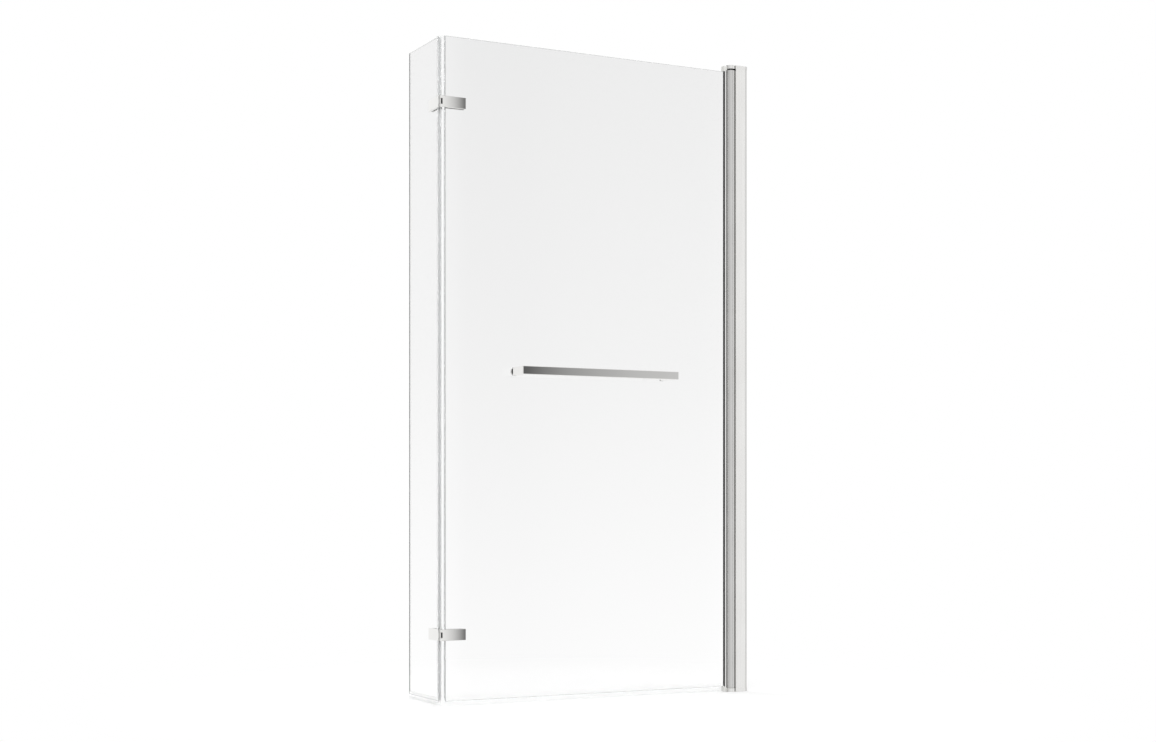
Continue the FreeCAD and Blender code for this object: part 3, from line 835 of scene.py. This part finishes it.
@dataclass(frozen=True)
class PushCover:
    """A round push-on cover with a slightly crowned face, hollow from behind."""

    radius: float
    height: float
    bore: float
    hollow: float
    edge: float
    segments: int = 48
    rim_steps: int = 7
    face_steps: int = 5
    crown_share: float = 0.05
    chamfer_share: float = 0.02
    middle_share: float = 0.04

    def profile(self) -> np.ndarray:
        """The radius and height of each point, from the middle of the face to the hollow's.

        The face falls from its middle with the square of the radius, by the crown, and the
        rim's rounding is a quarter circle from there to the side.

        Returns:
            Pairs of radius and height.
        """
        crown = self.crown_share * self.height
        flat = self.radius - self.edge
        turn = np.linspace(0.0, math.pi / 2, self.rim_steps)
        face = np.linspace(self.middle_share, 1.0, self.face_steps, endpoint=False)
        chamfer = self.chamfer_share * self.radius
        return np.concatenate([
            np.stack([face * flat, self.height - crown * face ** 2], axis=1),
            np.stack([flat + self.edge * np.sin(turn),
                      self.height - crown - self.edge + self.edge * np.cos(turn)], axis=1),
            [(self.radius, chamfer), (self.radius - chamfer, 0.0), (self.bore, 0.0),
             (self.bore, self.hollow), (self.middle_share * flat, self.hollow)]])

    def piece(self, name: str, places: Sequence[Place]) -> bpy.types.Object:
        """Turns the cover about an axis along Y at each place.

        A point of radius r and height h goes to (r cos a, h, r sin a) at each angle a.

        Args:
            name: the piece's name.
            places: where radius 0 and height 0 lie, for each cover.

        Returns:
            The piece with all its covers.
        """
        radius, height = self.profile().T[:, :, None]
        angle = full_turn(self.segments)[None, :]
        rings = np.stack([radius * np.cos(angle), height + 0 * angle, radius * np.sin(angle)],
                         axis=-1)
        return shells(name, [rings + np.array(place) for place in places], True)


# ------------------------------------------------------------------ dressing


def dress(node: str, finish: Finish) -> bpy.types.Object:
    """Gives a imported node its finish.

    Args:
        node: the node's name.
        finish: what it is finished with.

    Returns:
        The node's object.
    """
    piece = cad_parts[node]
    for place in piece.material_slots:
        place.material = made(finish)
    LOG.info("dressed %s in %s", node, finish.name)
    return piece


def fit(piece: bpy.types.Object, finish: Finish, body: Body, slot: str, *nodes: str) -> None:
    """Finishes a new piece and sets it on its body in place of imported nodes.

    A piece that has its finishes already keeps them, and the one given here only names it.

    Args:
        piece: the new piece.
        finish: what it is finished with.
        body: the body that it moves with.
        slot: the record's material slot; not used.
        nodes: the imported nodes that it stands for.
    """
    if not piece.data.materials:
        piece.data.materials.append(made(finish))
    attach(piece, body.value)
    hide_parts(*nodes)
    LOG.info("built %s in %s on %s", piece.name, finish.name, body.value)


def eased(piece: bpy.types.Object, by: float) -> bpy.types.Object:
    """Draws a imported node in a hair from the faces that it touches.

    Args:
        piece: the node's object.
        by: how far, in metres.

    Returns:
        The same object.
    """
    weld = piece.modifiers.new("weld", "WELD")
    weld.merge_threshold = 2 * MICRON
    draw_in = piece.modifiers.new("draw_in", "DISPLACE")
    draw_in.strength = -by
    draw_in.mid_level = 0.0
    return piece


def clear_of_shadow(piece: bpy.types.Object) -> None:
    """A see-through piece lets the light by."""
    piece.visible_shadow = False


# ------------------------------------------------------------------ sub-assemblies


@dataclass
class WallPost:
    """The post on the wall, its caps and pivot pins, and the covers over its lock screws."""

    face: float = 8.5 * MM
    cover: PushCover = PushCover(radius=4.6 * MM, height=2.0 * MM, bore=3.4 * MM,
                                 hollow=1.3 * MM, edge=0.6 * MM)
    cover_x: float = -12.0 * MM
    cover_step: float = 565.0 * MM

    def covers(self) -> None:
        """Sets the three covers on the bath side, at even steps from the post's middle."""
        middle = (POST_FOOT + POST_HEAD) / 2
        places = [(self.cover_x, self.face, middle + step * self.cover_step) for step in (-1, 0, 1)]
        fit(self.cover.piece("lock_covers", places), PLATED_CAP, Body.WALL, "plated_cap",
            "lock_screw_covers")

    def build(self) -> None:
        """Dresses the post and everything fixed to it."""
        dress("wall_channel", MILL_ALUMINIUM)
        dress("wall_post", BRIGHT_POST)
        for node in ("post_cap_top", "post_cap_bottom"):
            dress(node, PLATED_CAP)
        for node in ("cap_screws", "post_lock_screws", "pivot_pin_top", "pivot_pin_bottom"):
            dress(node, STAINLESS)
        dress("thrust_washer", WHITE_NYLON)
        self.covers()


@dataclass
class PivotProfile:
    """The round profile that turns in the post, with its bearings and glazing gaskets."""

    neck_reach: float = 16.2 * MM
    outer_reach: float = 17.9 * MM
    inner_reach: float = 16.8 * MM
    glass_face: float = GLASS / 2
    slot_face: float = 4.0 * MM
    slot_inset: float = 0.2 * MM
    bead_start: float = 0.4 * MM
    bead_top: float = 5.0 * MM
    bead_powers: Span = (1.4, 0.8)
    bead_steps: int = 15
    glass_reach: float = 7.5 * MM
    touch: float = 0.05 * MM
    groove: float = 0.35 * MM
    groove_turn: float = 0.75
    groove_half: float = 0.22

    def bead(self, side: float) -> np.ndarray:
        """The gasket's section: a leg in the slot, and a ribbed bead that fills the corner.

        At the angle t from 0 to 90 degrees the bead's face runs out from the neck with a power
        of sin t and down to the glass with a power of cos t. A groove of cosine shape runs
        along it.

        Args:
            side: -1 for the room side, +1 for the bath side.

        Returns:
            The outline, with its origin abreast of the pivot axis in the middle of the glass.
        """
        base = self.glass_face + self.touch
        turn = np.linspace(0.0, math.pi / 2, self.bead_steps)
        start = self.neck_reach + self.bead_start
        wide = (self.outer_reach if side < 0 else self.inner_reach) - start
        out, down = self.bead_powers
        x = -start - wide * np.sin(turn) ** out
        y = base + (self.bead_top - base) * np.cos(turn) ** down
        dip = np.clip(1 - np.abs(turn - self.groove_turn) / self.groove_half, 0, 1)
        y = y - self.groove * (1 - np.cos(math.pi * dip)) / 2
        leg = [(-self.glass_reach, base), (-self.glass_reach, self.slot_face),
               (-self.neck_reach - self.slot_inset, self.slot_face)]
        outline = np.concatenate([np.stack([x, y], 1), np.array(leg)])
        return outline * np.array([1.0, side])

    def gaskets(self) -> None:
        """Draws the two gaskets over the height of the glass."""
        for side, name in ((-1.0, "outer"), (1.0, "inner")):
            piece = strip(f"glazing_bead_{name}", self.bead(side), (GLASS_FOOT, GLASS_HEAD),
                          (0, 1, 2), (PIVOT_AXIS[0], 0.0, 0.0))
            fit(piece, BLACK_RUBBER, Body.MAIN, "black_rubber", f"glazing_gasket_{name}")

    def build(self) -> None:
        """Dresses the profile and its bearings, and draws the gaskets."""
        dress("pivot_profile", BRIGHT_PROFILE)
        for end in ("top", "bottom"):
            dress(f"pivot_plug_{end}", DARK_NYLON)
            dress(f"pivot_bush_{end}", DARK_NYLON)
            dress(f"glazing_cap_{end}", WHITE_NYLON)
        self.gaskets()


@dataclass
class GlassPanel:
    """One sheet of glass with the sleeves in its holes and the clear seal under it."""

    name: str
    pane: Pane
    body: Body
    finish: SheetGlass
    level_edge: GlassEdge
    seal_finish: ClearPlastic
    sheet_span: Span
    seal_span: Span
    holes: tuple[Span, ...]
    hole: float = 5.0 * MM
    hole_steps: int = 40
    corner_radius: float = 3.0 * MM
    corner_steps: int = 5
    rounding: float = 1.2 * MM
    arris: float = 0.4 * MM
    touch: float = 0.06 * MM
    leg_top: float = GLASS_FOOT + 7.5 * MM
    web: float = GLASS_FOOT - 2.0 * MM
    fin_tip: float = GLASS_FOOT - 10.7 * MM
    fin_belly: float = GLASS_FOOT - 8.0 * MM
    fin_width: float = 1.0 * MM
    fin_lean: float = 0.1 * MM
    fin_spread: float = 2.35 * MM

    def rims(self) -> list[np.ndarray]:
        """The sheet's outer rim, rounded like a pencil, and the rim of each hole.

        The outer rim runs about the middles of four small corner arcs, one quarter turn each.
        The direction of each quarter's middle tells which corner it rounds.

        Returns:
            The rims as rounded_rim() gives them, the outer one first.
        """
        quarter = np.repeat(np.arange(4), self.corner_steps)
        step = np.tile(np.linspace(0.0, 1.0, self.corner_steps), 4)
        low = np.array([self.sheet_span[0], GLASS_FOOT]) + self.corner_radius
        high = np.array([self.sheet_span[1], GLASS_HEAD]) - self.corner_radius
        core = np.where(directions((quarter + 0.5) * math.pi / 2) > 0, high, low)
        unit = directions((quarter + step) * math.pi / 2)
        rims = [rounded_rim(core, unit, self.corner_radius, GLASS / 2, self.rounding)]
        unit = directions(full_turn(self.hole_steps))
        for middle in self.holes:
            rims.append(rounded_rim(np.array(middle) + 0 * unit, unit, self.hole, GLASS / 2,
                                    -self.arris))
        return rims

    def sheet(self) -> None:
        """Joins the rims with two flat faces, and finishes the faces and each kind of edge."""
        rims = self.rims()
        flat = np.concatenate([rim.reshape(-1, 3) for rim in rims])
        ends = np.cumsum([rim[..., 0].size for rim in rims])
        numbers = [number.reshape(rim.shape[:2]) for rim, number
                   in zip(rims, np.split(np.arange(len(flat)), ends))]
        fronts = np.concatenate([number[0] for number in numbers])
        backs = np.concatenate([number[-1] for number in numbers])
        quads = [ring_quads(*number.shape) + number[0, 0] for number in numbers]
        triangles = face_between([rim[0, :, :2] for rim in rims], np.array(self.holes),
                                 self.hole)
        side = np.concatenate(quads)
        run = np.abs(flat[side].max(axis=1) - flat[side].min(axis=1))
        upright = (np.arange(len(side)) < len(quads[0])) & (run[:, 1] > run[:, 0])
        free = flat[side, 0].mean(axis=1) > sum(self.sheet_span) / 2
        rim_kinds = np.where(upright, np.where(free, 1, 2), 3)
        kinds = np.concatenate([rim_kinds, np.zeros(2 * len(triangles), int)])
        faces = side.tolist() + fronts[triangles].tolist() + backs[triangles].tolist()
        order = [0, 2, 1] if self.pane is Pane.MAIN else [2, 0, 1]
        points = flat[:, order] + np.array(CORNER)
        points[:, 1 - self.pane.value] += GLASS / 2
        piece = closed_piece(f"{self.name}_sheet", points, faces, kinds > 0)
        for finish in (self.finish, FREE_EDGE, CORNER_EDGE, self.level_edge):
            piece.data.materials.append(made(finish))
        piece.data.polygons.foreach_set("material_index", kinds)
        fit(piece, self.finish, self.body, "clear_glass", f"{self.name}_glass")
        clear_of_shadow(piece)

    def seal_outline(self) -> np.ndarray:
        """The bottom seal's section: two legs, a web under the glass, and two bent fins.

        Returns:
            The outline, with the first number across the glass and the second upwards.
        """
        parts = [rounded_outline(channel(self.web, GLASS_FOOT, self.leg_top), SEAL_ROUNDING)]
        for side in (1, -1):
            root = GLASS / 2 + side * (GLASS / 2 + SEAL_WALL - self.fin_width / 2)
            parts.append(blade((root, self.web), (root + side * self.fin_spread, self.fin_tip),
                               (root + side * self.fin_lean, self.fin_belly), self.fin_width))
        return np.concatenate(parts)

    def seal(self) -> None:
        """Carries the seal's section along the foot of the glass."""
        order = (2, 0, 1) if self.pane is Pane.MAIN else (0, 2, 1)
        piece = strip(f"{self.name}_foot_seal", self.seal_outline(), self.seal_span, order, CORNER)
        fit(piece, self.seal_finish, self.body, "clear_seal", f"{self.name}_bottom_seal")
        clear_of_shadow(piece)

    def build(self) -> None:
        """Draws the sheet and the seal, and dresses the sleeves."""
        self.sheet()
        clear_of_shadow(eased(dress(f"{self.name}_glass_sleeves", CLEAR_PAD), self.touch))
        self.seal()


@dataclass
class CornerSeal:
    """The clear upright seal on the return's front edge, in three lengths."""

    edge: float = 14.0 * MM
    web: float = 12.6 * MM
    leg_end: float = 20.5 * MM
    fin: tuple[Span, ...] = (
        (3.8 * MM, 12.6 * MM), (6.6 * MM, 8.6 * MM), (9.5 * MM, 6.0 * MM), (9.5 * MM, 1.0 * MM),
        (8.6 * MM, 1.0 * MM), (8.5 * MM, 4.8 * MM), (5.6 * MM, 7.6 * MM), (2.0 * MM, 12.6 * MM),
    )

    def outline(self) -> np.ndarray:
        """The section: a channel on the return's edge and a fin that closes on the main glass.

        Returns:
            The outline in the corner frame, seen from above.
        """
        corners = channel(self.web, self.edge, self.leg_end)
        return rounded_outline([*corners, *self.fin], SEAL_ROUNDING)

    def build(self) -> None:
        """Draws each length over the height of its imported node."""
        for part in ("top", "middle", "bottom"):
            node = f"corner_seal_{part}"
            low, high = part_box(node)
            piece = strip(f"corner_strip_{part}", self.outline(), (low[2], high[2]), (0, 1, 2),
                          CORNER)
            fit(piece, CLEAR_SEAL_UPRIGHT, Body.RETURN, "clear_seal", node)
            clear_of_shadow(piece)


@dataclass
class TowelRail:
    """The square rail, its gaskets, and what holds it on the bath side."""

    cover: PushCover = PushCover(radius=9.0 * MM, height=4.2 * MM, bore=5.2 * MM,
                                 hollow=3.4 * MM, edge=1.2 * MM, segments=64)
    seat: float = 5.5 * MM
    touch: float = 0.04 * MM

    def covers(self) -> None:
        """Sets the two covers over the rail's screws, on the bath side."""
        places = [(CORNER[0] + reach, self.seat, RAIL_LEVEL) for reach in RAIL_HOLES]
        fit(self.cover.piece("rail_covers", places), CHROME, Body.MAIN, "chrome",
            "rail_screw_covers")

    def build(self) -> None:
        """Dresses the rail and its fixings, and draws the covers."""
        dress("towel_rail", CHROME)
        eased(dress("rail_gaskets", BLACK_RUBBER), self.touch)
        clear_of_shadow(eased(dress("rail_discs", CLEAR_PAD), self.touch))
        dress("rail_washers", STAINLESS)
        dress("rail_screws", STAINLESS)
        self.covers()


@dataclass
class CornerHinge:
    """One corner hinge: two leaves, two clamps, their pads, and the pin in its bush."""

    place: str
    touch: float = 0.04 * MM

    def build(self) -> None:
        """Dresses the hinge."""
        for side in ("main", "return"):
            dress(f"{self.place}_{side}_leaf", CHROME)
            dress(f"{self.place}_{side}_clamp", CHROME)
            clear_of_shadow(eased(dress(f"{self.place}_{side}_pads", CLEAR_PAD), self.touch))
        dress(f"{self.place}_hinge_pin", STAINLESS)
        dress(f"{self.place}_hinge_bush", DARK_NYLON)


# ------------------------------------------------------------------ studio


@dataclass(frozen=True)
class Lamp:
    """A soft square lamp that looks at the middle of the screen."""

    name: str
    place: Place
    size: float
    watts: float

    def hang(self, target: Vector) -> None:
        """Hangs the lamp and turns it to the target.

        Args:
            target: the point that it looks at.
        """
        data = bpy.data.lights.new(self.name, "AREA")
        data.size = self.size
        data.energy = self.watts
        lamp = placed(self.name, data)
        lamp.location = self.place
        lamp.rotation_euler = (target - Vector(self.place)).to_track_quat("-Z", "Y").to_euler()
        for ray in ("camera", "glossy", "transmission"):
            setattr(lamp, f"visible_{ray}", False)


@dataclass(frozen=True)
class Studio:
    """A white room with soft lamps, and the camera.

    What polished metal mirrors is white with soft darker bands, given by their bearing: 0 is the
    room side (-Y) and +90 is the wall (+X). The narrow dusk band fades too fast for the wide
    ramp, and has one of its own. Steep rays see one even tone instead, from the first of the two
    steep values of |Z| to the second.
    """

    eye: Place = (-2.2526, -3.5018, 0.4283)
    turn: float = 27.52
    lens: float = 56.34
    film: float = 36.0
    rise: float = 0.1148
    sight: float = 200.0
    middle: Place = (-0.4, 0.0, 0.7)
    room_light: float = 0.72
    steep: Span = (0.45, 0.8)
    overhead: float = 0.9
    floor_radii: Span = (0.02, 1.2)
    floor_rings: int = 12
    floor_sides: int = 96
    floor_drop: float = 0.6 * MM
    lamps: tuple[Lamp, ...] = (
        Lamp("key_lamp", (-2.6, -3.0, 2.8), 1.8, 42.0),
        Lamp("fill_lamp", (1.2, -2.6, 1.4), 1.6, 14.0),
        Lamp("bath_lamp", (-1.6, 3.0, 2.2), 1.8, 22.0),
    )
    bands: tuple[Span, ...] = (
        (-180, 0.70), (-170, 0.88), (-166, 0.95), (-156.2, 0.97), (-154.8, 0.20), (-148, 0.14),
        (-122, 0.10), (-113, 0.50), (-85, 0.66), (-58, 0.75), (-32, 0.83), (15, 0.90),
        (22.5, 0.88), (33.5, 1.0), (46, 1.0), (48.5, 0.72), (55.5, 0.72), (58, 1.0), (95, 0.90),
        (135, 1.0), (150, 0.94), (170, 0.60), (180, 0.70),
    )
    dusk: tuple[Span, ...] = (
        (22.5, 0.88), (23.28, 0.86), (23.47, 0.72), (23.60, 0.607), (23.72, 0.464),
        (23.85, 0.296), (23.93, 0.19), (24.3, 0.11), (25.6, 0.10), (25.94, 0.13),
        (26.44, 0.224), (27.20, 0.339), (28.22, 0.435), (29.2, 0.515), (30.6, 0.58),
        (31.5, 0.66), (32.2, 0.93), (32.5, 1.0), (33.5, 1.0),
    )

    @staticmethod
    def banded(graph: Graph, bearing: Any, bands: Sequence[Span]) -> Any:
        """The grey that a list of bands gives at a bearing.

        Args:
            graph: the world's graph.
            bearing: the bearing's output, in radians.
            bands: pairs of bearing in degrees and grey, in rising order.

        Returns:
            The colour output.
        """
        low, high = bands[0][0], bands[-1][0]
        turn = graph.spread(bearing, (math.radians(low), math.radians(high)), (0, 1))
        return graph.ramp(turn, [((angle - low) / (high - low), grey) for angle, grey in bands])

    def world(self) -> None:
        """White for the rays that show a background, and a plain level for the rest."""
        world = bpy.data.worlds.new("white_room")
        bpy.context.scene.world = world
        world.use_nodes = True
        graph = Graph(world.node_tree)
        way = graph.node("ShaderNodeTexCoord").outputs["Generated"]
        axes = graph.node("ShaderNodeSeparateXYZ", {0: way}).outputs
        back = graph.sum_of("MULTIPLY", axes[1], -1.0)
        bearing = graph.sum_of("ARCTAN2", axes[0], back)
        band = self.banded(graph, bearing, self.bands)
        first, last = (math.radians(self.dusk[end][0]) for end in (0, -1))
        off = graph.sum_of("ABSOLUTE", graph.sum_of("SUBTRACT", bearing, (first + last) / 2))
        dim = graph.sum_of("LESS_THAN", off, (last - first) / 2)
        band = graph.mixed(dim, band, self.banded(graph, bearing, self.dusk))
        steep = graph.spread(graph.sum_of("ABSOLUTE", axes[2]), self.steep, (0, 1), True)
        mirrored = graph.mixed(steep, band, (self.overhead,) * 3)
        other = graph.mixed(graph.any_ray("Glossy"), (self.room_light,) * 3, mirrored)
        shown = graph.mixed(graph.any_ray("Camera", "Transmission"), other, (1.0, 1.0, 1.0))
        light = graph.node("ShaderNodeBackground", {"Color": shown, "Strength": 1.0})
        graph.node("ShaderNodeOutputWorld", {"Surface": light.outputs[0]})

    def floor(self) -> None:
        """A round floor just under the foot of the post.

        Polished metal doesn't mirror it, and shows the room's bands down to its foot. Its points
        are middle + r (cos a, sin a) on even rings and angles.
        """
        radius = np.linspace(*self.floor_radii, self.floor_rings)[:, None, None]
        level = np.array(self.middle[:2]) + radius * directions(full_turn(self.floor_sides))
        points = np.concatenate([level, np.full((*level.shape[:2], 1), -self.floor_drop)], axis=2)
        faces = ring_quads(*level.shape[:2]).tolist() + [list(range(self.floor_sides))]
        mesh = bpy.data.meshes.new("studio_floor")
        mesh.from_pydata(points.reshape(-1, 3), [], faces)
        mesh.materials.append(made(PaleFloor("pale_floor")))
        floor = placed("studio_floor", mesh)
        floor.visible_glossy = False

    def camera(self) -> None:
        """Sets the camera level, at the photographed angle."""
        data = bpy.data.cameras.new("camera")
        data.sensor_fit = "HORIZONTAL"
        data.sensor_width = self.film
        data.lens = self.lens
        data.shift_y = self.rise
        data.clip_end = self.sight
        camera = placed("camera", data)
        camera.location = self.eye
        camera.rotation_euler = (math.pi / 2, 0.0, -math.radians(self.turn))
        bpy.context.scene.camera = camera

    def build(self) -> None:
        """Builds the whole studio."""
        self.world()
        self.floor()
        for lamp in self.lamps:
            lamp.hang(Vector(self.middle))
        self.camera()
        bpy.context.scene.view_settings.view_transform = "Standard"


# ------------------------------------------------------------------ the whole scene


def main() -> None:
    """Builds and dresses the screen piece by piece, and then the studio."""
    logging.basicConfig(level=logging.INFO, format="%(message)s")
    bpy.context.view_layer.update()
    WallPost().build()
    PivotProfile().build()
    hinges = tuple((reach, level) for reach in HINGE_HOLES for level in HINGE_LEVELS)
    rail = tuple((reach, RAIL_LEVEL) for reach in RAIL_HOLES)
    GlassPanel("main", Pane.MAIN, Body.MAIN, MAIN_GLASS, MAIN_LEVEL_EDGE, CLEAR_SEAL_ALONG_X,
               sheet_span=(10.0 * MM, 709.1 * MM), seal_span=(11.0 * MM, 696.1 * MM),
               holes=hinges + rail).build()
    GlassPanel("return", Pane.RETURN, Body.RETURN, RETURN_GLASS, RETURN_LEVEL_EDGE,
               CLEAR_SEAL_ALONG_Y, sheet_span=(14.0 * MM, 176.5 * MM),
               seal_span=(15.0 * MM, 176.5 * MM), holes=hinges).build()
    CornerSeal().build()
    TowelRail().build()
    for place in ("upper", "lower"):
        CornerHinge(place).build()
    for pane in Pane:
        dress(f"{pane.name.lower()}_hinge_screws", STAINLESS)
    Studio().build()


if __name__ == "__main__":
    main()
